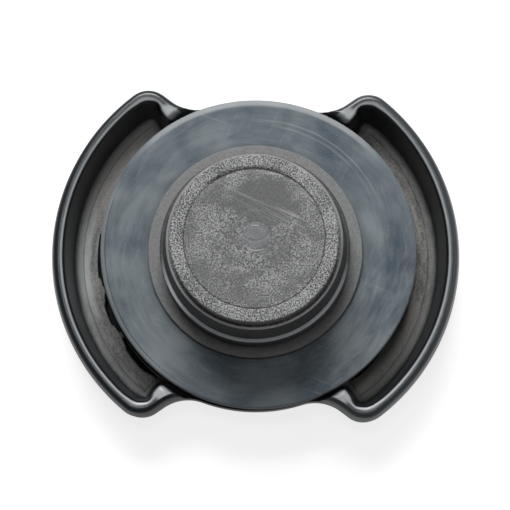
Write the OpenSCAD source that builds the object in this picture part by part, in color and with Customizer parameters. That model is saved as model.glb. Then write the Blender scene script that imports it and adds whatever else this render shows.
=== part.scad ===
// Oil filler cap, seen plug side up: it lies on its flat hidden face at z = 0.
// X runs along the two wings, Z points out of the plug face. Lengths in millimetres, angles in degrees.

/* [Wings] */
// diameter over the two wings, at their widest level
wing_diameter = 80; // [77:0.5:83]
// angle between the straight end wall of a wing and the X axis
flank_angle = 36; // [34:0.5:38]
// distance of the straight end wall from the centre of the cap
flank_distance = 14.4; // [14:0.1:15]
// rounding of the wing tip corner, seen from above
tip_radius = 5.1; // [5:0.1:5.6]
// concave sweep from the end wall into the hub, seen from above
root_radius = 8; // [7:0.25:9]

/* [Wing wall] */
// height of the lip top above the hidden face
lip_height = 12.4; // [12:0.1:13]
// radius of the full round lip
lip_radius = 1.1; // [0.9:0.05:1.2]
// distance of the lip crest from the widest outline
lip_inset = 1.5; // [1.3:0.05:1.7]
// level at which the outline is widest
widest_level = 9; // [8.5:0.1:9.5]
// rounding between hidden face and outer wall
bottom_radius = 3; // [2:0.25:3.5]
// lean of the outer wall between the widest level and the bottom rounding
outer_lean = 0.35; // [0.2:0.05:0.5]
// distance of the inner wall foot from the widest outline
inner_foot = 3.7; // [3.5:0.05:3.8]
// level of the inner wall foot
inner_foot_level = 4.1; // [3.9:0.1:4.5]
// fillet between inner wall and trough floor
floor_fillet = 1.1; // [0.9:0.05:1.1]
// thickness of the trough floor
floor_thickness = 2.6; // [2.2:0.1:2.8]

/* [Hub] */
// diameter of the round hub
hub_diameter = 61.7; // [61:0.1:62.5]
// level of the gasket seat above the hidden face
seat_level = 9.9; // [9.6:0.1:10.3]
// radial gap between hub edge and the wing lip where it ends beside the gasket
lip_clearance = 0.55; // [0.4:0.05:0.8]
// rounding of the lip end beside the gasket
lip_end_radius = 1.5; // [1.2:0.1:1.8]

/* [Floor pockets beside the hub] */
// radial width of the narrow pockets in the trough floor
pocket_width = 1.65; // [1.2:0.05:1.9]
// depth of the pockets
pocket_depth = 1.4; // [0.8:0.1:1.6]
// angle from the wing axis at which the middle pocket ends
pocket_one_end = 11.4; // [10:0.2:12]
// start of the second pocket
pocket_two_start = 14.4; // [13.4:0.2:15.4]
// end of the second pocket
pocket_two_end = 29.4; // [27:0.2:30.4]
// start of the third pocket
pocket_three_start = 32.4; // [31.4:0.2:34]
// end of the third pocket
pocket_three_end = 51; // [46:0.5:52]

/* [Spigot inside the plug] */
// wall of the spigot
spigot_wall = 2; // [1.6:0.1:2.2]
// level of the spigot end
spigot_level = 24.2; // [23:0.1:24.4]
// level of the snap bead
bead_level = 20; // [19:0.25:21]
// how far the snap bead stands out
bead_height = 0.3; // [0.2:0.05:0.35]
// width of the slots in the spigot
slot_width = 2; // [1.5:0.1:3]

/* [Gasket] */
// outer diameter of the gasket
gasket_diameter = 61.2; // [60:0.1:61.6]
// radial gap between the spigot and the bore of the gasket
gasket_clearance = 0.8; // [0.4:0.05:1.2]
// thickness of the gasket
gasket_thickness = 3; // [2.6:0.1:3.2]
// rounding of the upper outer edge of the gasket
gasket_round = 0.8; // [0.5:0.1:1]
// how far the gasket has crept to the right
gasket_shift = 0.5; // [0:0.05:0.55]

/* [Plug] */
// radius of the neck, which fits the filler opening
neck_radius = 18.1; // [17.6:0.05:18.6]
// wall of the neck round the spigot
neck_wall = 2.1; // [1.6:0.1:2.4]
// width of the flange lying on the gasket, beyond the neck
flange_width = 2.8; // [2.2:0.1:3.6]
// thickness of the flange
flange_thickness = 1.2; // [1:0.1:1.6]
// how far the flange has sunk into the gasket
flange_sink = 0.2; // [0.1:0.05:0.4]
// radial gap between the flange and the gasket round it
flange_play = 0.1; // [0.05:0.05:0.3]
// level of the neck edge where the lead-in starts
neck_level = 24.1; // [23.6:0.1:24.6]
// how far the lead-in cone narrows
lead_in = 1.4; // [1:0.1:1.6]
// level of the ridge at the end of the lead-in cone
ridge_level = 28.2; // [27.8:0.1:28.6]
// width of the step between the lead-in cone and the flat face
face_step = 0.8; // [0.5:0.1:1.1]
// level of the flat face
face_level = 30.3; // [30:0.1:31]
// small rounding at flange edge, neck foot and face edge
plug_round = 0.3; // [0.2:0.05:0.4]
// clearance between spigot and plug bore
spigot_clearance = 0.1; // [0.05:0.05:0.15]
// thickness of the end wall of the plug
end_wall = 2; // [1.6:0.1:2.4]
// width of the stop that the spigot ends at, inside the plug
stop_width = 1.9; // [1.2:0.1:2.4]
// distance of the ring groove from the edge of the face
ring_inset = 2.6; // [1.8:0.1:3.4]
// width of the ring groove
ring_width = 0.3; // [0.2:0.05:0.5]
// depth of the ring groove
ring_depth = 0.12; // [0.1:0.02:0.3]
// radius of the round moulding point in the middle of the face
gate_radius = 2.5; // [2:0.1:3]
// depth of the moulding point
gate_depth = 0.25; // [0.15:0.05:0.5]

/* [Colours] */
// body colour
body_colour = "#1b1b1c";
// gasket colour
gasket_colour = "#737a80";
// plug colour
plug_colour = "#3a3a3b";

/* [Hidden] */
$fn = 96;
wing_r = wing_diameter / 2;
hub_r = hub_diameter / 2;

// unit vectors along the end wall and square to it, for the upper right wing corner
along = [cos(flank_angle), sin(flank_angle)];
across = [-sin(flank_angle), cos(flank_angle)];

// centre of the tip rounding, tangent to the outer arc and to the end wall
tip_across = flank_distance - tip_radius;
tip_along = sqrt(pow(wing_r - tip_radius, 2) - pow(tip_across, 2));
tip_centre = tip_across * across + tip_along * along;
tip_start = atan2(tip_centre[1], tip_centre[0]);

// centre of the root sweep, tangent to the end wall and to the hub circle
root_across = flank_distance + root_radius;
root_along = sqrt(pow(hub_r + root_radius, 2) - pow(root_across, 2));
root_centre = root_across * across + root_along * along;
root_end = atan2(root_centre[1], root_centre[0]);

// section of the wall: x is the distance inward from the widest outline, y is the level
widest_point = [0, widest_level];
lip_centre = [lip_inset, lip_height - lip_radius];
bottom_centre = [outer_lean + bottom_radius, bottom_radius];
foot_point = [inner_foot, inner_foot_level];

// end of the tangent from point p to circle c of radius r; side is 1 or -1
function touch(p, c, r, side) =
    let (d = c - p)
    let (l = norm(d))
    let (a = atan2(d[1], d[0]) + side * asin(r / l))
    p + sqrt(l * l - r * r) * [cos(a), sin(a)];

lip_outer = touch(widest_point, lip_centre, lip_radius, 1);
lip_inner = touch(foot_point, lip_centre, lip_radius, -1);
bottom_outer = touch(widest_point, bottom_centre, bottom_radius, -1);
wall_down = (foot_point - lip_inner) / norm(foot_point - lip_inner);
wall_side = [-wall_down[1], wall_down[0]];
fillet_slide = (inner_foot_level - floor_thickness - floor_fillet * (1 - wall_side[1])) / -wall_down[1];
fillet_start = foot_point + fillet_slide * wall_down;
fillet_centre = fillet_start + floor_fillet * wall_side;

// the hub wall starts inside the trough floor, and stays inside the swept outer wall where that goes round it
hub_rooting = 0.4;
hub_setback = 0.15;
lip_end_rise = 0.06;
seat_radius = hub_r + lip_clearance;
hub_side = hub_r - outer_lean - hub_setback;
bore_radius = neck_radius - neck_wall;
spigot_radius = bore_radius - spigot_clearance;
gasket_bore = spigot_radius + gasket_clearance;
flange_radius = neck_radius + flange_width;
ridge_radius = neck_radius - lead_in;
face_radius = ridge_radius - face_step;
inner_radius = spigot_radius - stop_width;
ring_radius = face_radius - ring_inset;
flange_bottom = seat_level + gasket_thickness - flange_sink;
flange_top = flange_bottom + flange_thickness;
cup_step = spigot_level + spigot_clearance;
cup_end = face_level - end_wall;
function unit(angle) = [cos(angle), sin(angle)];
function heading(p, c) = atan2(p[1] - c[1], p[0] - c[0]);
function downward(angle) = angle > 0 ? angle - 360 : angle;
function arc_points(c, r, from, to, steps) =
    [for (i = [0 : steps]) c + r * unit(from + (to - from) * i / steps)];

// the wall section from the hidden face round the lip to the trough floor
section = concat(
    [[fillet_centre[0], 0]],
    arc_points(bottom_centre, bottom_radius, -90, downward(heading(bottom_outer, bottom_centre)), 5),
    [widest_point],
    arc_points(lip_centre, lip_radius, heading(lip_outer, lip_centre), heading(lip_inner, lip_centre), 6),
    arc_points(fillet_centre, floor_fillet, downward(heading(fillet_start, fillet_centre)), -90, 3)
);

// stations along the outline, each a point and its inward direction, for a quarter turn from the X axis
function stations(c, r, from, to, first, steps, inward) =
    [for (i = [first : steps]) let (u = unit(from + (to - from) * i / steps)) [c + r * u, inward * u]];
quarter = concat(
    stations([0, 0], wing_r, 0, tip_start, 0, 10, -1),
    stations(tip_centre, tip_radius, tip_start, flank_angle + 90, 1, 6, -1),
    stations(root_centre, root_radius, flank_angle + 270, root_end + 180, 0, 5, 1),
    stations([0, 0], hub_r, root_end, 90, 1, 3, -1)
);
flip = [[-1, 0], [0, 1]];
half = concat(quarter, [for (i = [len(quarter) - 2 : -1 : 0]) [flip * quarter[i][0], flip * quarter[i][1]]]);
half_count = len(half) - 1;
outline = concat(
    [for (i = [0 : half_count - 1]) half[i]],
    [for (i = [0 : half_count - 1]) [-half[i][0], -half[i][1]]]
);

// the section carried round the outline, closed by the hidden face and the trough floor
module tray() {
    n = len(outline);
    m = len(section);
    points = [for (st = outline, q = section) let (p = st[0] + q[0] * st[1]) [p[0], p[1], q[1]]];
    sides = [
        for (i = [0 : n - 1], j = [0 : m - 2])
            let (k = (i + 1) % n)
            [i * m + j, i * m + j + 1, k * m + j + 1, k * m + j]
    ];
    hidden_face = [for (i = [0 : n - 1]) i * m];
    trough_floor = [for (i = [n - 1 : -1 : 0]) i * m + m - 1];
    polyhedron(points, concat(sides, [hidden_face, trough_floor]));
}

// space that keeps the lip clear of the gasket
module seat_clearance() {
    end_centre = [seat_radius + lip_end_radius, lip_height - lip_end_radius + lip_end_rise];
    rotate_extrude()
        polygon(concat(
            [[0, seat_level], [seat_radius, seat_level]],
            arc_points(end_centre, lip_end_radius, 180, 90, 5),
            [[end_centre[0], lip_height + 1], [0, lip_height + 1]]
        ));
}

// hub between the trough floor and the gasket seat
module hub() {
    translate([0, 0, floor_thickness - hub_rooting]) cylinder(r = hub_side, h = seat_level);
}

// narrow pocket with round ends, following the foot of the hub wall
module pocket(start, end) {
    margin = 0.5 * pocket_width / hub_side * 180 / PI;
    steps = max(2, round((end - start) / 6));
    span = (end - start - 2 * margin) / steps;
    for (i = [0 : steps - 1])
        hull() {
            for (a = [start + margin + i * span, start + margin + (i + 1) * span])
                rotate([0, 0, a])
                    translate([hub_side + pocket_width / 2, 0, floor_thickness - pocket_depth])
                        cylinder(r = pocket_width / 2, h = pocket_depth + 1, $fn = 12);
        }
}

module pockets() {
    pocket(-pocket_one_end, pocket_one_end);
    for (side = [0, 1]) {
        mirror([0, side, 0]) pocket(pocket_two_start, pocket_two_end);
        mirror([0, side, 0]) pocket(pocket_three_start, pocket_three_end);
    }
}

module tube(outer, inner, low, high) {
    rotate_extrude() translate([inner, low]) square([outer - inner, high - low]);
}

module spigot() {
    difference() {
        union() {
            tube(spigot_radius, spigot_radius - spigot_wall, seat_level - 1, spigot_level);
            rotate_extrude()
                intersection() {
                    translate([spigot_radius - bead_height, bead_level]) circle(r = 2 * bead_height, $fn = 16);
                    translate([spigot_radius - 1, bead_level - 1]) square([2, 2]);
                }
        }
        for (turn = [0, 90])
            rotate([0, 0, turn])
                translate([-spigot_radius - 1, -slot_width / 2, seat_level + 4])
                    cube([2 * spigot_radius + 2, slot_width, spigot_level]);
    }
}

module shell() {
    difference() {
        union() {
            tray();
            hub();
        }
        seat_clearance();
    }
}

module cap_body() {
    color(body_colour) {
        difference() {
            shell();
            pockets();
            rotate([0, 0, 180]) pockets();
        }
        spigot();
    }
}

module gasket() {
    color(gasket_colour)
        difference() {
            translate([gasket_shift, 0, seat_level])
                rotate_extrude() {
                    width = gasket_diameter / 2 - gasket_bore;
                    translate([gasket_bore, 0]) square([width, gasket_thickness - gasket_round]);
                    translate([gasket_bore, 0]) square([width - gasket_round, gasket_thickness]);
                    translate([gasket_diameter / 2 - gasket_round, gasket_thickness - gasket_round])
                        circle(r = gasket_round);
                }
            translate([0, 0, flange_bottom])
                cylinder(r = flange_radius + flange_play, h = gasket_thickness);
        }
}

module plug_outline() {
    polygon([
        [0, flange_bottom], [flange_radius, flange_bottom], [flange_radius, flange_top - plug_round],
        [flange_radius - plug_round, flange_top], [neck_radius + plug_round, flange_top],
        [neck_radius, flange_top + plug_round], [neck_radius, neck_level],
        [ridge_radius, ridge_level - 0.1], [ridge_radius, ridge_level + 0.1],
        [ridge_radius - 0.2, ridge_level + 0.3], [face_radius, ridge_level + 0.3],
        [face_radius, face_level - plug_round], [face_radius - plug_round, face_level], [0, face_level]
    ]);
}

module plug() {
    color(plug_colour)
        rotate_extrude()
            difference() {
                plug_outline();
                translate([0, flange_bottom - 1]) square([bore_radius, cup_step - flange_bottom + 1]);
                square([inner_radius, cup_end]);
                translate([spigot_radius - bead_height, bead_level])
                    circle(r = 2 * bead_height + spigot_clearance, $fn = 48);
                translate([ring_radius - ring_width / 2, face_level - ring_depth]) square([ring_width, 1]);
                translate([0, face_level - gate_depth]) square([gate_radius, 1]);
            }
}

cap_body();
gasket();
plug();
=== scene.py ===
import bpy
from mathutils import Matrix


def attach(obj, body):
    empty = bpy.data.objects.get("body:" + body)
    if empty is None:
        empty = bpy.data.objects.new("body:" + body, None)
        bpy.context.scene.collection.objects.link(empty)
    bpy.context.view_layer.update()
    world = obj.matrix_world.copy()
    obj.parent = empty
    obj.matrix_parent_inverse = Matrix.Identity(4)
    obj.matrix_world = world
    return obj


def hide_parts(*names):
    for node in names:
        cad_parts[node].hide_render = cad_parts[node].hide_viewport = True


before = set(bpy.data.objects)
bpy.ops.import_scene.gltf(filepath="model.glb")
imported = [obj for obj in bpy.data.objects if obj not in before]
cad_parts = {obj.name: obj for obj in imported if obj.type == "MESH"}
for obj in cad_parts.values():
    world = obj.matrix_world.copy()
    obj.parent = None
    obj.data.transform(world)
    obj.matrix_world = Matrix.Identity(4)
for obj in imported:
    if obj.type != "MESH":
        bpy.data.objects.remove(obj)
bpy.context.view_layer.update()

import math

import bmesh
import bpy
import numpy as np
from mathutils import Matrix, Vector

# Lengths in the dictionaries are millimetres and angles are degrees, unless a note says otherwise.
# Meshes are in metres.
mm = 0.001
weldDistance = 2e-7      # metres; only the points that meet at a pole are merged


# Camera
camera = {
    "target": (-0.08, -0.04, 9.0),
    "distance": 450,
    "tilt": 8.5,          # away from straight down, towards the lower edge of the picture
    "sideways": 5.4,      # turn of that direction about the vertical
    "roll": 1.2,
    "across": 100.2,      # width of the picture at the target
    "sensor": 36,
    "clip": (0.01, 10),   # metres
}


# the direction back from the target to the camera is (sin tilt * sin side, -sin tilt * cos side, cos tilt)
def placeCamera(c):
    tilt, side, roll = (math.radians(c[k]) for k in ("tilt", "sideways", "roll"))
    back = Vector((math.sin(tilt) * math.sin(side), -math.sin(tilt) * math.cos(side), math.cos(tilt)))
    right = Vector((math.cos(roll), math.sin(roll), 0))
    right = (right - right.dot(back) * back).normalized()
    up = back.cross(right)
    data = bpy.data.cameras.new("photoCamera")
    data.sensor_width = c["sensor"]
    data.lens = c["sensor"] * c["distance"] / c["across"]
    data.clip_start, data.clip_end = c["clip"]
    eye = bpy.data.objects.new("photoCamera", data)
    bpy.context.collection.objects.link(eye)
    turn = Matrix((right, up, back)).transposed()
    eye.matrix_world = Matrix.Translation((Vector(c["target"]) + c["distance"] * back) * mm) @ turn.to_4x4()
    bpy.context.scene.camera = eye


placeCamera(camera)
print("camera placed")


# Node kit
class Wire:  # an output socket that takes part in plain arithmetic
    def __init__(self, paint, socket):
        self.paint, self.socket = paint, socket

    def join(self, operation, first, second):
        return self.paint.node("Math", {"operation": operation}, {0: first, 1: second})

    def __add__(self, other):
        return self.join("ADD", self, other)

    __radd__ = __add__

    def __sub__(self, other):
        return self.join("SUBTRACT", self, other)

    def __rsub__(self, other):
        return self.join("SUBTRACT", other, self)

    def __mul__(self, other):
        return self.join("MULTIPLY", self, other)

    __rmul__ = __mul__

    def __truediv__(self, other):
        return self.join("DIVIDE", self, other)

    def __pow__(self, power):
        return self.join("POWER", self, power)


class Paint:  # the nodes of one material or world, and the ways to add to them
    def __init__(self, owner):
        owner.use_nodes = True
        self.owner, self.tree = owner, owner.node_tree
        self.tree.nodes.clear()

    def node(self, kind, settings=None, inputs=None, output=0):
        made = self.tree.nodes.new("ShaderNode" + kind)
        for key, value in (settings or {}).items():
            setattr(made, key, value)
        for key, value in (inputs or {}).items():
            if isinstance(value, Wire):
                self.tree.links.new(value.socket, made.inputs[key])
            else:
                made.inputs[key].default_value = value
        return Wire(self, made.outputs[output]) if made.outputs else None

    # smooth step from 0 at low to 1 at high; it falls instead where low is above high
    def step(self, value, low, high):
        settings = {"interpolation_type": "SMOOTHSTEP"}
        if low < high:
            return self.node("MapRange", settings, {0: value, 1: low, 2: high, 3: 0.0, 4: 1.0})
        return self.node("MapRange", settings, {0: value, 1: high, 2: low, 3: 1.0, 4: 0.0})

    def atMost(self, first, second):
        return self.node("Math", {"operation": "MINIMUM"}, {0: first, 1: second})

    def absolute(self, value):
        return self.node("Math", {"operation": "ABSOLUTE"}, {0: value})

    # a mix of two colours, each a socket or (red, green, blue)
    def blend(self, factor, first, second):
        first, second = (c if isinstance(c, Wire) else (*c, 1) for c in (first, second))
        return self.node("Mix", {"data_type": "RGBA"}, {0: factor, 6: first, 7: second}, 2)

    def vector(self, operation, first, second):
        return self.node("VectorMath", {"operation": operation}, {0: first, 1: second})

    # Object coordinates in millimetres, with x, y, z and the distance from the axis
    def place(self):
        here = self.node("TexCoord", output="Object")
        where = self.node("VectorMath", {"operation": "SCALE"}, {0: here, "Scale": 1 / mm})
        x, y, z = (self.node("SeparateXYZ", None, {0: where}, k) for k in "XYZ")
        return where, x, y, z, (x * x + y * y) ** 0.5

    # distance from a point, in x and y only, each multiplied by its share
    def away(self, where, centre, shares=(1.0, 1.0)):
        offset = self.vector("MULTIPLY", self.vector("SUBTRACT", where, (*centre, 0.0)), (*shares, 0.0))
        return self.node("VectorMath", {"operation": "LENGTH"}, {0: offset}, "Value")

    # place in (direction, radius), so that noise read there follows the ring
    def ringWise(self, x, y, r, turn, reach):
        return self.node("CombineXYZ", None, {0: x / r * turn, 1: y / r * turn, 2: r * reach})

    # a named value kept with the mesh
    def mark(self, name):
        return self.node("Attribute", {"attribute_name": name}, None, "Fac")

    # 1 within a half width of a middle value, easing to 0 outside it
    def band(self, value, middle, half, soft):
        return self.step(self.absolute(value - middle), half + soft, half)

    def noise(self, where, scale, detail=3.0, rough=0.55, twist=0.0):
        return self.node("TexNoise", None, {"Vector": where, "Scale": scale, "Detail": detail,
                                            "Roughness": rough, "Distortion": twist})

    # noise drawn out along one turned direction, for scratches and smears
    def streaks(self, where, angle, scale, stretch, detail=2.0):
        turned = self.node("Mapping", {"vector_type": "TEXTURE"}, {
            "Vector": where, "Rotation": (0, 0, math.radians(angle)), "Scale": (stretch, 1.0, 1.0)})
        return self.noise(turned, scale, detail)

    def bump(self, height, strength, depth, after=None):
        inputs = {"Height": height, "Strength": strength, "Distance": depth * mm}
        if after is not None:
            inputs["Normal"] = after
        return self.node("Bump", None, inputs)

    def show(self, shader, kind="OutputMaterial"):
        self.node(kind, None, {"Surface": shader})
        return self.owner

    def finish(self, colour, roughness, relief, refraction, gloss):
        return self.show(self.node("BsdfPrincipled", None, {
            "Base Color": colour, "Roughness": roughness, "Normal": relief,
            "IOR": refraction, "Specular IOR Level": gloss}))


# Shape kit
# points on a circle: centre + radius * (cos a, sin a), a going evenly from start to stop
def arcPoints(centre, radius, start, stop, steps):
    a = np.radians(np.linspace(start, stop, steps + 1))
    return np.column_stack([centre[0] + radius * np.cos(a), centre[1] + radius * np.sin(a)])


# points on a straight line, ends included: first * (1 - t) + last * t
def linePoints(first, last, steps):
    t = np.linspace(0, 1, steps + 1)[:, None]
    return np.asarray(first) * (1 - t) + np.asarray(last) * t


# a polygon's corners rounded: each corner becomes a quadratic curve from a point back along one side,
# pulled by the corner, to a point on along the next side
def rounded(corners, radii, steps):
    p = np.asarray(corners, float)
    out = [p[:1]]
    t = np.linspace(0, 1, steps + 1)[:, None]
    longest = 0.49     # share of a side that a rounding may take
    for k in range(1, len(p) - 1):
        if radii[k] == 0:
            out.append(p[k:k + 1])
            continue
        before = p[k] + (p[k - 1] - p[k]) * min(longest, radii[k] / np.linalg.norm(p[k - 1] - p[k]))
        after = p[k] + (p[k + 1] - p[k]) * min(longest, radii[k] / np.linalg.norm(p[k + 1] - p[k]))
        out.append(before * (1 - t) ** 2 + 2 * p[k] * t * (1 - t) + after * t ** 2)
    out.append(p[-1:])
    return np.vstack(out)


# a profile with extra points, so that no step along it is longer than the given length
def refined(profile, longest):
    out = [profile[:1]]
    for first, last in zip(profile[:-1], profile[1:]):
        steps = max(1, math.ceil(np.linalg.norm(last - first) / longest))
        out.append(linePoints(first, last, steps)[1:])
    return np.vstack(out)


# smooth step of t between 0 and 1: 3 t^2 - 2 t^3; it falls instead where low is above high
def ease(value, low, high):
    t = np.clip((value - low) / (high - low), 0, 1)
    return t * t * (3 - 2 * t)


# lesser of two surfaces, lowered where they are within a width of each other, so that the edge between them is soft
def softLess(a, b, width):
    near = np.maximum(width - np.abs(a - b), 0) / width
    return np.minimum(a, b) - near * near * width / 4


# angles of the stations round the axis, one row each
def roundAngles(count):
    return np.linspace(0, 2 * np.pi, count, endpoint=False)[:, None]


# a closed grid made one mesh, rows round the axis and columns along the profile, which is closed too where said;
# marks are named values at its points, which the material reads where a finish follows the shape
def gridPiece(name, points, material, sharp, crossClosed=False, marks=None):
    rows, cols = points.shape[:2]
    i, j = np.meshgrid(np.arange(rows), np.arange(cols if crossClosed else cols - 1), indexing="ij")
    k, m = (i + 1) % rows, (j + 1) % cols
    faces = np.stack([i * cols + j, k * cols + j, k * cols + m, i * cols + m], -1).reshape(-1, 4)
    mesh = bpy.data.meshes.new(name)
    mesh.from_pydata((points.reshape(-1, 3) * mm).tolist(), [], faces.tolist())
    for key, values in (marks or {}).items():
        mesh.attributes.new(key, "FLOAT", "POINT").data.foreach_set("value", values.ravel().astype(np.float32))
    work = bmesh.new()
    work.from_mesh(mesh)
    bmesh.ops.remove_doubles(work, verts=work.verts, dist=weldDistance)
    bmesh.ops.recalc_face_normals(work, faces=work.faces)
    if work.calc_volume(signed=True) < 0:
        bmesh.ops.reverse_faces(work, faces=work.faces)
    work.to_mesh(mesh)
    work.free()
    mesh.shade_smooth()
    mesh.set_sharp_from_angle(angle=math.radians(sharp))
    mesh.materials.append(material)
    piece = bpy.data.objects.new(name, mesh)
    bpy.context.collection.objects.link(piece)
    print("made", name, len(mesh.polygons), "faces")
    return piece


# Cap body
shell = {
    # seen from above
    "wingRadius": 40.0, "flankAngle": 36.0, "flankDistance": 14.4, "tipRadius": 5.1, "rootRadius": 8.0,
    "hubRadius": 30.85, "stationsPerArc": (92, 34, 8, 38, 22),
    # wall section
    "lipHeight": 12.4, "lipRadius": 1.1, "lipInset": 1.5, "widestLevel": 9.0, "bottomRadius": 3.0,
    "outerLean": 0.35, "innerFoot": 3.7, "innerFootLevel": 4.1, "floorFillet": 1.1, "floorThickness": 2.6,
    "outsideSteps": (9, 4, 2, 9), "insideSteps": (11, 14, 9),
    # flat land on the crest along the arc, at the tips and in the sweeps, and where the last two begin and end
    "crestLands": (0.1, 0.4, 1.45), "landEase": 0.55, "tipBeyond": (7.5, 12.0), "tipFrom": (36.0, 39.0),
    "rootFrom": (36.5, 33.0),
    # cut beside the gasket
    "seatLevel": 9.9, "lipClearance": 0.55, "lipRamp": 0.95, "cutMargin": 0.3, "cutSlope": 2, "cutSoftness": 0.5,
    "cutSteps": 7,
    # trough floor, with its rows, and the pockets beside the hub
    "floorRadii": (34.4, 33.7, 33.2, 33.0, 32.85, 32.75, 32.65, 32.55, 32.45, 32.35, 32.25, 32.15,
                   32.05, 31.95, 31.85, 31.7, 31.55),
    "hubSetback": 0.5, "pocketDepth": 1.9, "pocketWidths": (0.95, 0.9, 0.85), "pocketTaper": 5.0,
    "pocketSpans": ((-11.4, 11.4), (14.4, 29.4), (32.4, 51.0)), "pocketRagged": 0.06,
    "pocketLessRight": 0.4, "pocketEndShare": 0.45, "pocketSlope": 0.1, "pocketEndSlope": 0.2,
    # seat and spigot
    "seatBevel": 0.25, "seatRow": 27, "spigotRadius": 15.9, "spigotWall": 2.0, "spigotLevel": 24.2,
    "slotWidth": 2.0, "slotFoot": 13.9,
    # colours, some of them painted light: the rim's reflection, the glints on crest and shoulders, the floor's sheen
    # and lighter patches, the fillet's reflection, the shade in the crease, pockets and seat
    "black": ((0.0085, 0.0115, 0.0145), (0.0135, 0.0175, 0.021)),
    "rimReflection": (0.28, 0.30, 0.315), "crestGlint": (0.42, 0.44, 0.45), "shoulderGlint": (0.40, 0.42, 0.43),
    "dullDust": ((0.054, 0.052, 0.048), (0.060, 0.059, 0.057)),      # right wing, left wing
    "paleDustAndSheen": ((0.215, 0.207, 0.194), (0.200, 0.198, 0.193)),
    "paintedFloorLight": (0.30, 0.288, 0.27), "leftWingSheen": (0.31, 0.325, 0.325), "speckDust": (0.11, 0.115, 0.12),
    "filletReflection": (0.105, 0.112, 0.116), "creaseShade": (0.015, 0.014, 0.013),
    "hubWallGrey": (0.34, 0.33, 0.32), "pocketShade": (0.004, 0.004, 0.004),
}


# stations on an arc: place = centre + radius * u, inward direction = sign * u
def arcStations(centre, radius, start, stop, count, sign):
    place = arcPoints(centre, radius, start, stop, count)
    return place, sign * (place - centre) / radius


# the cap seen from above: outer arc, tip corner, straight end wall, concave root sweep, hub, mirrored twice
def capOutline(s):
    flank = math.radians(s["flankAngle"])
    along, across = np.array([math.cos(flank), math.sin(flank)]), np.array([-math.sin(flank), math.cos(flank)])
    tipAcross = s["flankDistance"] - s["tipRadius"]
    tip = tipAcross * across + math.sqrt((s["wingRadius"] - s["tipRadius"]) ** 2 - tipAcross ** 2) * along
    rootAcross = s["flankDistance"] + s["rootRadius"]
    root = rootAcross * across + math.sqrt((s["hubRadius"] + s["rootRadius"]) ** 2 - rootAcross ** 2) * along
    tipStart, rootEnd = (math.degrees(math.atan2(c[1], c[0])) for c in (tip, root))
    arcSteps, tipSteps, wallSteps, rootSteps, hubSteps = s["stationsPerArc"]
    middle = np.zeros(2)
    arc = arcStations(middle, s["wingRadius"], 0, tipStart, arcSteps, -1)
    corner = arcStations(tip, s["tipRadius"], tipStart, s["flankAngle"] + 90, tipSteps, -1)
    sweep = arcStations(root, s["rootRadius"], s["flankAngle"] + 270, rootEnd + 180, rootSteps, 1)
    hub = arcStations(middle, s["hubRadius"], rootEnd, 90, hubSteps, -1)
    wall = linePoints(corner[0][-1], sweep[0][0], wallSteps)
    straight = (wall, np.tile(corner[1][-1], (len(wall), 1)))
    parts = [arc, corner, straight, sweep, hub]
    place = np.vstack([parts[0][0]] + [p[0][1:] for p in parts[1:]])
    inward = np.vstack([parts[0][1]] + [p[1][1:] for p in parts[1:]])
    flip = np.array([-1, 1])
    place = np.vstack([place, (place[:-1] * flip)[::-1]])[:-1]
    inward = np.vstack([inward, (inward[:-1] * flip)[::-1]])[:-1]
    return np.vstack([place, -place]), np.vstack([inward, -inward])


# where the tangent from point p meets a circle, on the given side
def tangentPoint(p, centre, radius, side):
    d = np.subtract(centre, p)
    far = np.linalg.norm(d)
    a = math.atan2(d[1], d[0]) + side * math.asin(radius / far)
    return np.asarray(p) + math.sqrt(far ** 2 - radius ** 2) * np.array([math.cos(a), math.sin(a)])


# wall section as (distance inward, level): arcs joined by their common tangents, in two parts, outside up to the
# crest and from the crest down to the trough floor
def wallSection(s):
    widest = np.array([0, s["widestLevel"]])
    lip = np.array([s["lipInset"], s["lipHeight"] - s["lipRadius"]])
    bottom = np.array([s["outerLean"] + s["bottomRadius"], s["bottomRadius"]])
    foot = np.array([s["innerFoot"], s["innerFootLevel"]])
    lipOuter = tangentPoint(widest, lip, s["lipRadius"], 1)
    lipInner = tangentPoint(foot, lip, s["lipRadius"], -1)
    bottomOuter = tangentPoint(widest, bottom, s["bottomRadius"], -1)
    down = (foot - lipInner) / np.linalg.norm(foot - lipInner)
    side = np.array([-down[1], down[0]])
    slide = (foot[1] - s["floorThickness"] - s["floorFillet"] * (1 - side[1])) / -down[1]
    filletStart = foot + slide * down
    fillet = filletStart + s["floorFillet"] * side

    def turn(p, c):
        return math.degrees(math.atan2(p[1] - c[1], p[0] - c[0]))

    n = s["outsideSteps"]
    outside = np.vstack([
        arcPoints(bottom, s["bottomRadius"], -90, turn(bottomOuter, bottom) % 360 - 360, n[0]),
        linePoints(bottomOuter, widest, n[1])[1:],
        linePoints(widest, lipOuter, n[2])[1:],
        arcPoints(lip, s["lipRadius"], turn(lipOuter, lip), 90, n[3])[1:],
    ])
    n = s["insideSteps"]
    inside = np.vstack([
        arcPoints(lip, s["lipRadius"], 90, turn(lipInner, lip), n[0]),
        linePoints(lipInner, filletStart, n[1])[1:],
        arcPoints(fillet, s["floorFillet"], turn(filletStart, fillet) % 360 - 360, -90, n[2])[1:],
    ])
    return outside, inside


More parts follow.
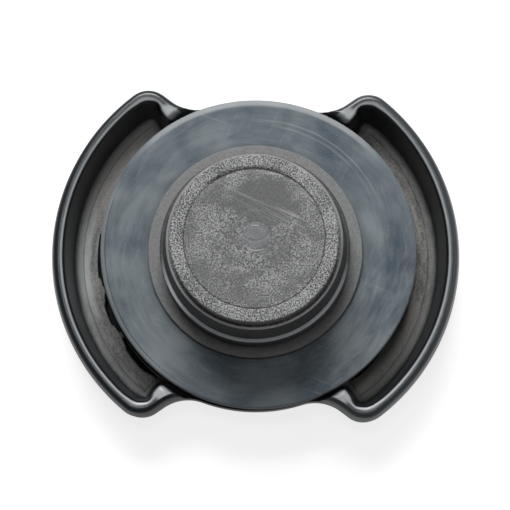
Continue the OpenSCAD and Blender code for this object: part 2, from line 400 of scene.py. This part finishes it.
# depth of the pockets beside the hub: 1 inside their radius and angle, easing to 0 over a fifth of a millimetre;
# the outer edge is a sum of three sines, tapers to the ends, and stands out less on the right wing
def pocketMask(s, radius, angle):
    folded = (angle + 90) % 180 - 90
    hubSide = s["hubRadius"] - s["hubSetback"]
    total = np.zeros_like(radius)
    ragged = 0.5 * np.sin(1.7 * angle) + 0.3 * np.sin(3.1 * angle + 1) + 0.2 * np.sin(6.3 * angle + 2)
    side = 1 - s["pocketLessRight"] * ease(np.abs(angle), 95, 85)
    edge, endEdge, least = s["pocketSlope"], s["pocketEndSlope"], s["pocketEndShare"]
    for (start, stop), width in zip(s["pocketSpans"], s["pocketWidths"]):
        turn = folded if start < 0 else np.abs(folded)
        ends = ease(turn, start, start + s["pocketTaper"]) * ease(turn, stop, stop - s["pocketTaper"])
        reach = hubSide + side * width * (least + (1 - least) * ends) + s["pocketRagged"] * ragged
        span = ease(turn, start - endEdge, start + endEdge) * ease(turn, stop + endEdge, stop - endEdge)
        total += span * ease(radius, reach + edge, reach - edge)
    return total


# the whole body as one closed grid. A station's columns run: middle of the hidden face, bottom rounding, outer wall,
# lip, inner wall, trough floor, hub wall, gasket seat, spigot, middle of the seat. The path goes straight inward from
# the outline as far as the wall section reaches, and then towards the axis.
def capPoints(s):
    place, inward = capOutline(s)
    outside, inside = wallSection(s)
    seatRadius, hubSide = s["hubRadius"] + s["lipClearance"], s["hubRadius"] - s["hubSetback"]
    count, last = len(place), len(inside) - 1

    # the lip is cut to the seat level near the hub, and the cut rises from there in a smooth ramp
    def cut(level, radius):
        start, end = seatRadius - s["cutMargin"], seatRadius + s["lipRamp"]
        rise = (s["lipHeight"] + s["cutMargin"] - s["seatLevel"]) * ease(radius, start, end)
        ramp = s["seatLevel"] + rise + s["cutSlope"] * np.maximum(radius - end, 0)
        return softLess(level, ramp, s["cutSoftness"])

    # the crest carries a flat land: a trace along the arc, more at the tips, most in the sweeps into the hub
    axisRadius = np.linalg.norm(place, axis=1)
    flank = math.radians(s["flankAngle"])
    beyond = np.abs(place[:, 1]) * math.cos(flank) - np.abs(place[:, 0]) * math.sin(flank)
    atTip = ease(beyond, *s["tipBeyond"]) * ease(axisRadius, *s["tipFrom"])
    arcLand, tipLand, rootLand = s["crestLands"]
    land = arcLand + (tipLand - arcLand) * atTip + (rootLand - arcLand) * ease(axisRadius, *s["rootFrom"])

    def stretched(x):
        return x + land[:, None] * ease(x, s["lipInset"], s["lipInset"] + s["landEase"])

    # radius along a station's path, at whole steps of the inside section
    steps = place[:, None, :] + stretched(inside[None, :, 0])[..., None] * inward[:, None, :]
    radii = np.linalg.norm(steps, axis=2)
    floorRadius = radii[:, -1]

    # how far along its path each station reaches a given radius
    def reach(target):
        k = np.clip((radii > target).sum(axis=1) - 1, 0, last - 1)
        a, b = np.take_along_axis(radii, k[:, None], 1)[:, 0], np.take_along_axis(radii, k[:, None] + 1, 1)[:, 0]
        onWall = np.clip(k + (a - target) / (a - b), 0, last)
        return np.where(floorRadius > target, last + floorRadius - target, onWall)

    # place and uncut level at path position t
    def follow(t):
        on = np.clip(t, 0, last)
        x = stretched(np.interp(on, np.arange(last + 1), inside[:, 0]))
        z = np.interp(on, np.arange(last + 1), inside[:, 1])
        p = place[:, None, :] + x[..., None] * inward[:, None, :]
        r = np.linalg.norm(p, axis=2)
        more = np.maximum(t - last, 0)
        p = p * ((r - more) / r)[..., None]
        r = r - more
        angle = np.degrees(np.arctan2(p[..., 1], p[..., 0]))
        level = z < s["floorThickness"] + 0.01     # true on the flat of the floor
        return p, z - s["pocketDepth"] * pocketMask(s, r, angle) * level, r

    atSeat, atHub = reach(seatRadius), reach(hubSide)
    onFloor = last + np.maximum(floorRadius[:, None] - np.array(s["floorRadii"])[None, :], 0)
    onWall = np.tile(np.arange(last + 1.0), (count, 1))
    upperPath = np.minimum(np.hstack([onWall, onFloor]), atSeat[:, None])
    p, z, r = follow(upperPath)
    upper = np.dstack([p, cut(z, r)])
    hubPath = atSeat[:, None] + (atHub - atSeat)[:, None] * np.linspace(0, 1, s["cutSteps"])[None, 1:]
    p, z, r = follow(hubPath)
    middle = np.dstack([p, cut(z, r)])

    # outer wall, cut to the seat where it lies inside the seat radius
    p = place[:, None, :] + outside[None, :, 0:1] * inward[:, None, :]
    outer = np.dstack([p, cut(np.tile(outside[:, 1], (count, 1)), np.linalg.norm(p, axis=2))])
    face = np.stack([outer[:, 0] * [share, share, 0] for share in (0, 0.5)], 1)

    # hub wall, seat and spigot stay on each station's own angle; the first three rings are shares of the hub's edge
    edge = middle[:, -1, :2]
    angle = np.arctan2(edge[:, 1], edge[:, 0])
    edgeRadius = np.minimum(hubSide, np.linalg.norm(edge, axis=1))
    outerSpigot, top, foot, seat = s["spigotRadius"], s["spigotLevel"], s["slotFoot"], s["seatLevel"]
    bore = outerSpigot - s["spigotWall"]
    rings = [(1.0, seat - s["seatBevel"]), (0.99, seat), (s["seatRow"] / hubSide, seat), (outerSpigot, seat),
             (outerSpigot, foot), (outerSpigot, top), (bore, top), (bore, foot), (bore, seat), (0, seat)]
    ringRadii, levels = (np.tile([ring[k] for ring in rings], (count, 1)) for k in (0, 1))
    levels[:, 0] = np.minimum(np.maximum(levels[:, 0], middle[:, -1, 2]), seat)
    ringRadii[:, :3] *= edgeRadius[:, None]
    offset = np.minimum(np.abs(np.cos(angle)), np.abs(np.sin(angle))) * outerSpigot
    inSlot = offset[:, None] < s["slotWidth"] / 2
    levels[:, 4:8] = np.where(inSlot, np.minimum(levels[:, 4:8], foot), levels[:, 4:8])
    inner = np.stack([ringRadii * np.cos(angle)[:, None], ringRadii * np.sin(angle)[:, None], levels], -1)

    # section mark: millimetres outside the crest below 0, share of the inner wall from 0 to 1, then 1 + millimetres on;
    # -30 on the hidden face, 30 from the hub wall inward
    path = np.hstack([upperPath, hubPath])
    onSection = np.where(path < last, path / last, 1 + path - last)
    outward = np.linalg.norm(np.diff(outside, axis=0), axis=1)
    outward = -np.append(np.cumsum(outward[::-1])[::-1], 0)
    section = np.hstack([np.full((count, 2), -30.0), np.tile(outward, (count, 1)), onSection,
                         np.full((count, len(rings)), 30.0)])
    return np.concatenate([face, outer, upper, middle, inner], axis=1), section


# glossy black moulding with dusty troughs, plus painted light (a reflection on the outer rim, highlights on crest and
# shoulders, sheen and a fillet reflection in the troughs) and painted shade (crease, pockets, seat); masks come from
# the section mark, the place and noises
def bodyPlastic(s):
    paint = Paint(bpy.data.materials.new("moulded black plastic"))
    where, x, y, z, r = paint.place()
    section = paint.mark("section")
    fine = paint.noise(where, 2.6, 4.0)
    cloud = paint.noise(where, 0.16, 3.0, 0.6)
    grain = paint.noise(where, 9.0, 2.0)
    wipe = paint.noise(paint.ringWise(x, y, r, 9.0, 1.1), 1.0, 4.0, 0.6, 0.4)
    leftSide = paint.step(x, 0.0, -30.0)
    outsideHub = paint.step(r, 30.2, 30.6)
    pastWall = paint.step(section, 1.0, 1.4)
    inTrough = paint.step(section, 29.0, 28.0) * outsideHub
    # bluish black everywhere, a painted reflection paler on the outside of the rim and stronger to the right, and a
    # painted highlight along the crest
    base = paint.blend(paint.step(fine, 0.3, 0.8), *s["black"])
    rimReflectionMask = paint.step(section, 0.09, -0.1) * paint.step(section, -5.5, -3.0)
    rimReflectionMask = rimReflectionMask * (0.12 + 0.88 * paint.step(section, -0.4, -2.4)) * (0.10 + 0.90 * paint.step(x, -8.0, 30.0))
    base = paint.blend(rimReflectionMask * (0.75 + 0.3 * cloud), base, s["rimReflection"])
    crest = paint.band(section, 0.10, 0.015, 0.055)
    base = paint.blend(crest * (0.55 + 0.4 * cloud), base, s["crestGlint"])
    # dusty floor of the troughs, its paler tone partly painted sheen, mottled and wiped along the wing, thinning out up
    # the wall, and darker towards the ends as painted shade
    floorZone = paint.step(section, 0.76, 0.95) * inTrough * paint.step(z, 1.9, 2.4)
    ends = paint.step(paint.absolute(y), 28.0, 10.0) * 0.15 + 0.85
    mottle = 0.55 * wipe + 0.45 * fine
    dull = paint.blend(leftSide, *s["dullDust"])
    pale = paint.blend(leftSide, *s["paleDustAndSheen"])
    dustAndSheen = paint.blend(paint.step(mottle, 0.36, 0.64), dull, pale)
    base = paint.blend(floorZone * ends * (0.80 + 0.25 * cloud), base, dustAndSheen)
    # painted light on the floor at the upper left and lower right of the picture, and a painted sheen in the middle of
    # the left wing
    floorLightPatch = paint.step(x * y, -150.0, -430.0)
    base = paint.blend(floorLightPatch * floorZone * (0.25 + 0.5 * mottle), base, s["paintedFloorLight"])
    sheenPatch = paint.band(r, 34.2, 0.7, 1.0) * leftSide * paint.step(paint.absolute(y + 1.0), 16.0, 3.0)
    base = paint.blend(sheenPatch * floorZone * (0.45 + 0.8 * wipe), base, s["leftWingSheen"])
    # painted reflection on the grey sweep of the fillet, with painted shade along the crease at its foot
    fillet = paint.step(section, 0.80, 0.92) * paint.step(section, 1.7, 1.3) * inTrough
    base = paint.blend(fillet * 0.5, base, s["filletReflection"])
    crease = paint.band(section, 1.72, 0.06, 0.16) * inTrough
    base = paint.blend(crease * (0.25 + 0.6 * fine), base, s["creaseShade"])
    # hub wall beside the gasket, and painted shade that makes the pockets and the seat near black
    hubSide = paint.step(r, 30.56, 30.5) * paint.step(z, 9.6, 9.2) * paint.step(z, 2.2, 2.5) * pastWall
    base = paint.blend(hubSide, base, s["hubWallGrey"])
    pocket = paint.step(z, 2.35, 1.9) * outsideHub * paint.step(r, 34.0, 33.4) * pastWall
    seat = paint.step(r, 31.7, 31.3) * paint.step(z, 9.5, 9.75)
    shadedPlaces = paint.atMost(pocket + seat, 1.0)
    base = paint.blend(shadedPlaces, base, s["pocketShade"])
    # painted highlight on the shoulders where the lips run out to the hub
    shoulder = paint.step(r, 34.9, 33.6) * paint.step(r, 31.5, 32.0) * paint.band(section, 0.04, 0.10, 0.14)
    base = paint.blend(shoulder * 0.75, base, s["shoulderGlint"])
    # specks of dust caught on the lips
    speck = paint.step(paint.noise(where, 5.5, 1.0), 0.77, 0.81) * 0.4
    speck = speck * (1 - paint.band(section, 0.45, 0.25, 0.1))
    base = paint.blend(speck, base, s["speckDust"])
    # dust and the dark places of painted shade are dull, the rest is glossy with a faint grain and hairlines
    sheen = 0.13 + 0.10 * (1 - ends) + 0.08 * wipe
    roughness = 0.27 + 0.04 * fine + sheen * floorZone + 0.12 * speck + 0.6 * paint.atMost(shadedPlaces + hubSide, 1.0)
    hair = paint.streaks(where, 35, 2.2, 14)
    relief = paint.bump(grain * 0.5 + fine * 0.5, 0.015, 0.02)
    relief = paint.bump(paint.step(hair, 0.62, 0.7) + wipe * floorZone * 3.0, 0.05, 0.01, relief)
    return paint.finish(base, roughness, relief, 1.5, 0.5)


capGrid, sectionMark = capPoints(shell)
body = gridPiece("cap_shell", capGrid, bodyPlastic(shell), 38, marks={"section": sectionMark})
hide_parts("cap_body")
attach(body, "root")


# Gasket
seal = {
    # outline: radius, then (size, phase) of a shift, an oval and a three-way wave
    "radius": 30.63, "shift": (0.521, 4.9), "oval": (0.276, -32.1), "threeWay": (0.161, 59.3),
    "bottom": 9.9, "thickness": 3.0, "lowerEdge": 0.2, "bore": 16.7, "boreShift": 0.5, "boreSag": 0.02,
    "recessRadius": 21.0, "recess": 0.2, "recessStep": 2,
    # worn bevel of the upper edge, widest towards an angle
    "edgeNarrow": 0.35, "edgeWide": 1.35, "edgeFrom": 112.0, "edgePower": 0.8, "edgeFall": 0.45,
    "wave": 0.035, "faceWave": 0.03, "rows": 480, "edgeRows": 8, "faceRows": 26,
    # colours, some of them painted light: the highlight on the top bevel, the shadow line along the left edge, the
    # shade by the flange
    "deepBlue": (0.030, 0.052, 0.073), "bloom": (0.172, 0.200, 0.216), "scuffGrey": (0.24, 0.255, 0.26),
    "fineGrey": (0.20, 0.215, 0.225), "bevelHighlight": (0.34, 0.355, 0.36), "edgeGrey": (0.22, 0.235, 0.24),
    "edgeShadowLine": (0.02, 0.025, 0.03), "speckPale": (0.42, 0.44, 0.45), "mouldArc": (0.33, 0.345, 0.35),
    "flangeShade": (0.06, 0.075, 0.085),
}


# the ring's outline is a circle plus three cosine waves; its section, lower edge, bevel as a quarter ellipse, faintly
# waved face, recess and bore, is carried round it
def gasketPoints(s):
    a = roundAngles(s["rows"])
    waves = enumerate((s["shift"], s["oval"], s["threeWay"]), 1)
    outline = s["radius"] + sum(size * np.cos(k * a - math.radians(phase)) for k, (size, phase) in waves)
    soft = 0.5 + 0.5 * np.cos(a - math.radians(s["edgeFrom"]))
    bevel = s["edgeNarrow"] + (s["edgeWide"] - s["edgeNarrow"]) * soft ** s["edgePower"]
    fall = s["edgeNarrow"] + s["edgeFall"] * (bevel - s["edgeNarrow"])
    low = s["bottom"] + 0 * a
    top = s["bottom"] + s["thickness"] + s["wave"] * (0.5 * np.sin(2 * a + 1) + 0.5 * np.sin(5 * a)) - s["wave"]
    recess = s["bottom"] + s["thickness"] - s["recess"] + 0 * a
    q = np.linspace(0, np.pi / 2, s["edgeRows"])[None, :]
    edgeR = outline - bevel * (1 - np.cos(q))
    edgeZ = top - fall * (1 - np.sin(q))
    t = np.linspace(0, 1, s["faceRows"])[None, 1:]
    inner = s["recessRadius"] + 0 * a
    faceR = (outline - bevel) * (1 - t) + inner * t
    faceZ = top + s["faceWave"] * np.sin(np.pi * t) * np.cos(3 * a + 0.6)
    bore = np.hypot(s["bore"] * np.cos(a) + s["boreShift"], s["bore"] * np.sin(a))
    r = np.hstack([bore, bore, 0.5 * (bore + outline), outline - s["lowerEdge"], outline, edgeR, faceR,
                   inner, inner - s["recessStep"], bore])
    z = np.hstack([recess - s["boreSag"], low, low, low, low + s["lowerEdge"], edgeZ, faceZ, recess, recess, recess])
    return np.stack([r * np.cos(a), r * np.sin(a), z], -1), outline - r


# bloomed blue-grey rubber: clouds and smears round the ring set the tone, then edges with a painted highlight and a
# painted shadow line, scratches, and painted shade by the flange
def gasketRubber(s):
    paint = Paint(bpy.data.materials.new("bloomed gasket rubber"))
    where, x, y, z, r = paint.place()
    inset = paint.mark("inset")     # millimetres in from the outer edge
    cloud = paint.noise(where, 0.09, 2.0, 0.5, 0.4)
    fine = paint.noise(where, 3.4, 4.0, 0.6)
    smear = paint.noise(paint.ringWise(x, y, r, 2.3, 0.34), 1.0, 5.0, 0.60, 0.9)
    wipe = paint.noise(paint.ringWise(x, y, r, 4.2, 0.95), 1.0, 6.0, 0.66, 1.2)
    strokes = paint.streaks(where, 56, 0.55, 7, 5.0)
    rightSide = paint.step(x, 4.0, 20.0) * paint.step(y, 8.0, -6.0)
    tone = 0.5 + 0.9 * (cloud - 0.5) + 0.45 * (smear - 0.5) + (0.30 + 0.25 * rightSide) * (wipe - 0.5)
    tone = tone + 0.45 * rightSide * (strokes - 0.5)
    # a dark arc and a pale one inside it, on the right
    reach = paint.step(x, 16.0, 22.0) * paint.step(y, -16.0, -4.0) * paint.step(y, 14.0, 4.0)
    tone = tone - 0.08 * reach * paint.band(r + 3.0 * smear, 28.3, 0.1, 1.6)
    tone = tone + 0.06 * reach * paint.band(r, 24.0, 0.2, 1.6)
    base = paint.blend(paint.step(tone, 0.16, 0.80), s["deepBlue"], s["bloom"])
    scuff = paint.step(wipe * 0.6 + fine * 0.4, 0.56, 0.70)
    base = paint.blend(scuff * (0.18 + 0.3 * rightSide), base, s["scuffGrey"])
    base = paint.blend(paint.step(fine, 0.35, 0.75) * 0.16, base, s["fineGrey"])
    # painted highlight on the bevel along the top edge, a grey band with a fine painted shadow line inside it along the
    # left
    upper = paint.step(y, 18.0, 25.0)
    topEdgeHighlight = paint.step(inset, 1.5, 0.9) * upper * (0.55 + 0.5 * fine)
    base = paint.blend(topEdgeHighlight * 0.85, base, s["bevelHighlight"])
    left = paint.step(x, -8.0, -22.0) * paint.step(y, 16.0, 6.0)
    base = paint.blend(paint.step(inset, 0.85, 0.6) * left * 0.55, base, s["edgeGrey"])
    base = paint.blend(paint.band(inset, 0.95, 0.03, 0.10) * left * 0.75, base, s["edgeShadowLine"])
    base = paint.blend(paint.step(inset, 0.4, 0.15) * (1 - upper) * 0.4, base, s["edgeGrey"])
    # sparse pale specks and fine hairlines
    specks = paint.step(paint.noise(where, 4.2, 1.0), 0.755, 0.80)
    rising = paint.step(paint.streaks(where, 66, 2.4, 34), 0.66, 0.72)
    falling = paint.step(paint.streaks(where, -18, 2.0, 30), 0.68, 0.74)
    base = paint.blend(paint.atMost(specks * 0.5 + (rising + falling) * 0.14, 1.0), base, s["speckPale"])
    # faint moulding arcs at the upper right, painted shade close to the flange
    arcs = paint.band(r, 26.2, 0.04, 0.2) + paint.band(r, 25.2, 0.03, 0.15) * 0.7
    arcs = arcs * paint.step(y, 8.0, 18.0) * paint.step(x, -3.0, 6.0)
    base = paint.blend(arcs * (0.1 + 0.5 * wipe), base, s["mouldArc"])
    base = paint.blend(paint.step(r, 22.6, 21.0) * 0.45, base, s["flangeShade"])
    roughness = 0.55 + 0.14 * wipe - 0.10 * paint.step(tone, 0.5, 0.62)
    relief = paint.bump(fine, 0.12, 0.02)
    relief = paint.bump(wipe, 0.2, 0.05, relief)
    return paint.finish(base, roughness, relief, 1.48, 0.4)


ringGrid, insetMark = gasketPoints(seal)
gasket = gridPiece("sealing_ring", ringGrid, gasketRubber(seal), 45, crossClosed=True, marks={"inset": insetMark})
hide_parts("gasket")
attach(gasket, "root")


# Plug
stopper = {
    "flangeRadius": 20.9, "flangeBottom": 12.7, "flangeTop": 13.9, "neckRadius": 18.35, "neckLevel": 18.5,
    "shoulder": (0.75, 0.12), "ridgeRadius": 16.7, "ridgeLevel": 26.2, "ridgeCorners": ((0.12, 0), (-0.22, 0.26)),
    "faceRadius": 15.9, "faceLevel": 30.3, "faceFoot": 0.3, "boreRadius": 16.0, "boreLevel": 24.3,
    "innerRadius": 14.0, "innerLevel": 28.3, "sideStep": 1.2,
    # rows on the face as (first radius, last radius, how many)
    "faceEdge": 14.4, "faceRows": ((14.3, 13.75, 5), (13.62, 12.98, 17), (12.8, 3.6, 34), (3.45, 0, 24)),
    # ring groove, deep and ragged over a part of the circle, and two moulding circles (x, y, radius, depth)
    "ringRadius": 13.3, "ringWidth": 0.34, "ringDepth": 0.16, "ringJitter": 0.10, "ringWander": 0.04,
    "raggedAt": 96, "raggedZone": (0.70, 0.86), "raggedWaves": (17, 29, 43, 61),
    "circles": ((0.35, 0.45, 2.7, 0.05), (0.1, 2.6, 3.1, 0.05)), "circleWidth": 0.16,
    "dish": 0.10, "dishZone": (13.2, 4.0), "rows": 500,
    # colours, some of them painted light: the shadow at the neck's foot, the glints on ridge, ledge and gate, the shade
    # in the ring groove and the shadow along its ragged part
    "plainGrey": ((0.135, 0.137, 0.138), (0.195, 0.197, 0.198)),
    "faceSparkle": ((0.025, 0.026, 0.028), (0.46, 0.465, 0.47)),
    "rubbedFace": ((0.075, 0.077, 0.078), (0.115, 0.117, 0.118)), "softFace": (0.105, 0.107, 0.110),
    "scratchPale": (0.36, 0.365, 0.37), "sideSpeckle": ((0.034, 0.035, 0.037), (0.19, 0.195, 0.20)),
    "shelfSpeckle": ((0.11, 0.111, 0.114), (0.36, 0.365, 0.37)), "neckDark": (0.05, 0.05, 0.052),
    "cornerShadow": (0.06, 0.06, 0.062), "rimGlint": ((0.30, 0.30, 0.305), (0.80, 0.80, 0.81)),  # upper, lower
    "ledgeGlint": (0.80, 0.84, 0.87), "grooveShade": (0.02, 0.02, 0.021), "raggedEdgeShadow": (0.015, 0.015, 0.016),
    "gateDisc": (0.175, 0.18, 0.184), "gateDashGlint": (0.55, 0.555, 0.56), "gateGlint": (0.45, 0.455, 0.46),
}


# the stepped plug: a profile of (radius, level) turned about the axis, (r cos a, r sin a, z), with its face lowered
# by a ring groove and two circles, each a bell curve across its line, and by a shallow dish
def plugPoints(s):
    flange, neck, ridge, face = s["flangeRadius"], s["neckRadius"], s["ridgeRadius"], s["faceRadius"]
    shoulderIn, shoulderUp = s["shoulder"]
    (firstOut, firstUp), (nextOut, nextUp) = s["ridgeCorners"]
    # radius, level and rounding of each corner
    corners = [
        (0, s["innerLevel"], 0), (s["innerRadius"], s["innerLevel"], 0), (s["innerRadius"], s["boreLevel"], 0),
        (s["boreRadius"], s["boreLevel"], 0), (s["boreRadius"], s["flangeBottom"], 0.1),
        (flange, s["flangeBottom"], 0.12), (flange, s["flangeTop"], 0.3), (neck, s["flangeTop"], 0.35),
        (neck, s["neckLevel"], 0.4), (neck - shoulderIn, s["neckLevel"] + shoulderUp, 0.25),
        (ridge + firstOut, s["ridgeLevel"] + firstUp, 0.14), (ridge + nextOut, s["ridgeLevel"] + nextUp, 0.12),
        (face, s["ridgeLevel"] + s["faceFoot"], 0.2), (face, s["faceLevel"], 0.3), (s["faceEdge"], s["faceLevel"], 0),
    ]
    side = refined(rounded([corner[:2] for corner in corners], [corner[2] for corner in corners], 6), s["sideStep"])
    top = np.concatenate([np.linspace(*rows) for rows in s["faceRows"]])
    profile = np.vstack([side, np.column_stack([top, np.full(len(top), s["faceLevel"])])])
    a = roundAngles(s["rows"])
    r, z = profile[:, 0][None, :] + 0 * a, profile[:, 1][None, :] + 0 * a
    x, y = r * np.cos(a), r * np.sin(a)
    onFace = np.arange(len(profile))[None, :] >= len(side)
    ragged = ease(np.cos(a - math.radians(s["raggedAt"])), *s["raggedZone"])
    wander = sum(np.sin(k * a + k * k) for k in s["raggedWaves"]) / len(s["raggedWaves"])
    middle = s["ringRadius"] + s["ringJitter"] * ragged * wander + s["ringWander"] * np.sin(3 * a)
    groove = np.exp(-((r - middle) / (s["ringWidth"] * (0.42 + 0.7 * ragged))) ** 2)
    depth = s["ringDepth"] * (0.55 + 1.2 * ragged) * groove
    for cx, cy, radius, deep in s["circles"]:
        away = np.hypot(x - cx, y - cy)
        depth = depth + deep * np.exp(-((away - radius) / s["circleWidth"]) ** 2)
    depth = depth + s["dish"] * ease(r, *s["dishZone"])
    return np.stack([x, y, z - np.where(onFace, depth, 0)], -1)


# spark-grained plastic: sparkling face with a rubbed, scratched patch, dark speckled side, painted highlights on the
# edges and the gate, painted shade in the groove and at the neck's foot
def plugPlastic(s):
    paint = Paint(bpy.data.materials.new("spark-grained plug plastic"))
    where, x, y, z, r = paint.place()
    onFace = paint.step(z, 29.7, 30.05)
    grain = paint.noise(where, 3.3, 2.0, 0.6)
    finer = paint.noise(where, 5.5, 1.0, 0.5)
    coarse = paint.noise(where, 2.4, 3.0, 0.6)
    cloud = paint.noise(where, 0.22, 3.0, 0.6, 0.3)
    # smoother rubbed patch in the upper middle of the face, ragged at its rim
    patch = paint.away(where, (2.2, 7.2), (0.098, 0.155))
    smooth = paint.step(patch + 0.7 * cloud + 0.25 * coarse, 1.45, 1.0) * onFace * paint.step(r, 13.3, 13.1)
    sparkle = paint.step(grain + (finer - 0.5) * 0.35 + (cloud - 0.5) * 0.25, 0.34, 0.72)
    plain = paint.blend(paint.step(coarse, 0.3, 0.7), *s["plainGrey"])
    facePale = paint.blend(sparkle, *s["faceSparkle"])
    faceSoft = paint.blend(paint.step(coarse, 0.35, 0.7), *s["rubbedFace"])
    base = paint.blend(onFace, plain, facePale)
    base = paint.blend(smooth * 0.92, base, faceSoft)
    withinRing = paint.step(r, 13.2, 12.9) * onFace * (1 - smooth)
    base = paint.blend(withinRing * (0.30 + 0.40 * paint.step(cloud, 0.6, 0.4)), base, s["softFace"])
    # slanting scratches over the rubbed patch
    line = paint.streaks(where, -22, 1.7, 24, 3.0)
    hair = paint.streaks(where, -26, 3.6, 40, 2.0)
    zone = paint.step(paint.absolute(y + 0.40 * x - 6.6), 2.6, 0.8) * onFace
    zone = zone * paint.step(paint.absolute(x - 1.5), 9.0, 6.0)
    scratch = paint.atMost(paint.step(line, 0.55, 0.68) * 0.55 + paint.step(hair, 0.55, 0.64) * 0.7, 1.0) * zone
    base = paint.blend(scratch * 0.6, base, s["scratchPale"])
    # dark speckled side between the ledge and the face, shelf above the ridge, dark neck, painted shadow at its foot in
    # the lower half
    side = paint.step(z, 18.0, 18.3) * (1 - onFace)
    speckle = paint.step(finer * 0.6 + grain * 0.4, 0.50, 0.66)
    base = paint.blend(side, base, paint.blend(speckle * 0.55, *s["sideSpeckle"]))
    shelf = paint.step(z, 26.2, 26.4) * (1 - onFace)
    base = paint.blend(shelf * 0.9, base, paint.blend(speckle, *s["shelfSpeckle"]))
    neck = paint.step(z, 14.3, 14.8) * paint.step(z, 18.3, 17.8)
    base = paint.blend(neck * 0.7, base, s["neckDark"])
    lower = paint.step(y, -1.0, -12.0)
    corner = paint.step(r, 20.9, 19.2) * paint.step(z, 14.1, 14.0) * lower
    base = paint.blend(corner * 0.5, base, s["cornerShadow"])
    # painted highlights on the edges: the ridge all round, brighter in the lower half, and the ledge in the lower half
    rim = paint.band(r, 16.60, 0.16, 0.08) * paint.band(z, 26.3, 0.25, 0.15)
    base = paint.blend(rim * (0.45 + 0.5 * coarse), base, paint.blend(lower, *s["rimGlint"]))
    ledge = paint.band(r, 18.02, 0.26, 0.14) * paint.band(z, 18.5, 0.3, 0.3) * lower
    base = paint.blend(ledge * (0.7 + 0.4 * coarse), base, s["ledgeGlint"])
    # painted shade in the ring groove, and a painted shadow where it is ragged at the top
    base = paint.blend(paint.band(r, 13.3, 0.07, 0.12) * onFace * 0.75, base, s["grooveShade"])
    raggedShadow = paint.band(r + (coarse - 0.5) * 0.6, 13.25, 0.16, 0.10) * paint.step(y / r, 0.68, 0.86) * onFace
    base = paint.blend(raggedShadow * 0.8, base, s["raggedEdgeShadow"])
    # the moulding point: a pale disc, a painted highlight as a short dash above it and a painted glint at its lower
    # edge
    gate = paint.away(where, (0.35, 0.45))
    disc = paint.step(gate, 3.0, 1.9) * onFace
    base = paint.blend(disc * (0.35 + 0.6 * coarse), base, s["gateDisc"])
    dash = paint.band(y, 2.45, 0.03, 0.09) * paint.step(paint.absolute(x - 0.1), 0.9, 0.4) * onFace
    base = paint.blend(dash * 0.7, base, s["gateDashGlint"])
    glint = paint.band(gate, 2.75, 0.04, 0.1) * onFace * paint.step(y, -0.5, -1.5)
    glint = glint * paint.step(paint.absolute(x - 0.2), 1.4, 0.6)
    base = paint.blend(glint * 0.7, base, s["gateGlint"])
    roughness = 0.55 + 0.15 * coarse - 0.08 * smooth
    relief = paint.bump(grain * onFace + (1 - onFace) * finer * 0.4, 0.45, 0.08)
    relief = paint.bump(coarse, 0.2, 0.05, relief)
    return paint.finish(base, roughness, relief, 1.5, 0.5)


plug = gridPiece("stepped_plug", plugPoints(stopper), plugPlastic(stopper), 40)
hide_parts("plug")
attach(plug, "root")


# Floor, world and lamps
studio = {
    "floorSize": 3.0,             # metres
    "floorDrop": 0.1, "farFloor": (150, 500), "floorGrey": 0.36, "floorLift": 0.80, "mirrorShare": 0.35,
    "horizonLevel": 0.13, "zenithLevel": 0.035, "horizonRise": (0.0, 0.35),
    "lamps": {
        # name: place in metres, width, depth, power
        "topSoftbox": ((-0.10, 0.62, 0.68), 0.5, 0.4, 9.7),
        "overheadSoftbox": ((-0.04, 0.12, 0.94), 0.14, 0.14, 0.95),
        "sideSoftbox": ((0.72, 0.12, 0.55), 0.5, 0.4, 0.8),
    },
    "lampAim": (0, 0, 0.01),      # metres
}


# a grey floor that camera, mirror and glass rays see lifted to white, fully so far away; the shadow stays in it
def floorMaterial(s):
    paint = Paint(bpy.data.materials.new("pale floor"))
    light = paint.node("BsdfDiffuse", None, {"Color": (s["floorGrey"],) * 3 + (1,)})
    byCamera, byMirror, byGlass = (paint.node("LightPath", None, None, ray) for ray in
                                   ("Is Camera Ray", "Is Glossy Ray", "Is Transmission Ray"))
    seen = paint.atMost(byCamera + byMirror * s["mirrorShare"] + byGlass, 1.0)
    r = paint.place()[-1]
    lift = paint.step(r, *s["farFloor"]) * (1 - s["floorLift"]) + s["floorLift"]
    glow = paint.node("Emission", None, {"Color": seen * lift, "Strength": 1.0})
    # the underside is clear, so that the cap's hidden face can be seen from below
    clear = paint.node("BsdfTransparent")
    under = paint.node("NewGeometry", output="Backfacing")
    lit = paint.node("AddShader", None, {0: light, 1: glow})
    return paint.show(paint.node("MixShader", None, {0: under, 1: lit, 2: clear}))


# white to the camera; for light and mirrors the level falls smoothly from the horizon to overhead with the ray's rise
def buildSky(s):
    world = bpy.data.worlds.new("studio")
    bpy.context.scene.world = world
    sky = Paint(world)
    rise = sky.node("SeparateXYZ", None, {0: sky.node("TexCoord", output="Generated")}, "Z")
    low, high = s["horizonRise"]
    level = sky.step(rise, high, low) * (s["horizonLevel"] - s["zenithLevel"]) + s["zenithLevel"]
    seen = sky.node("LightPath", output="Is Camera Ray")
    level = level * (1 - seen) + seen
    sky.show(sky.node("Background", None, {"Color": level, "Strength": 1.0}), "OutputWorld")


def buildStudio(s):
    size, drop = s["floorSize"], s["floorDrop"] * mm
    corners = [(-size, -size, -drop), (size, -size, -drop), (size, size, -drop), (-size, size, -drop)]
    mesh = bpy.data.meshes.new("floor")
    mesh.from_pydata(corners, [], [(0, 1, 2, 3)])
    mesh.materials.append(floorMaterial(s))
    floor = bpy.data.objects.new("floor", mesh)
    bpy.context.collection.objects.link(floor)
    buildSky(s)
    for name, (place, width, depth, power) in s["lamps"].items():
        lamp = bpy.data.lights.new(name, "AREA")
        lamp.shape, lamp.size, lamp.size_y, lamp.energy = "RECTANGLE", width, depth, power
        holder = bpy.data.objects.new(name, lamp)
        bpy.context.collection.objects.link(holder)
        holder.location = place
        holder.rotation_euler = (Vector(s["lampAim"]) - Vector(place)).to_track_quat("-Z", "Y").to_euler()


buildStudio(studio)
bpy.context.scene.view_settings.view_transform = "Standard"
print("studio built")
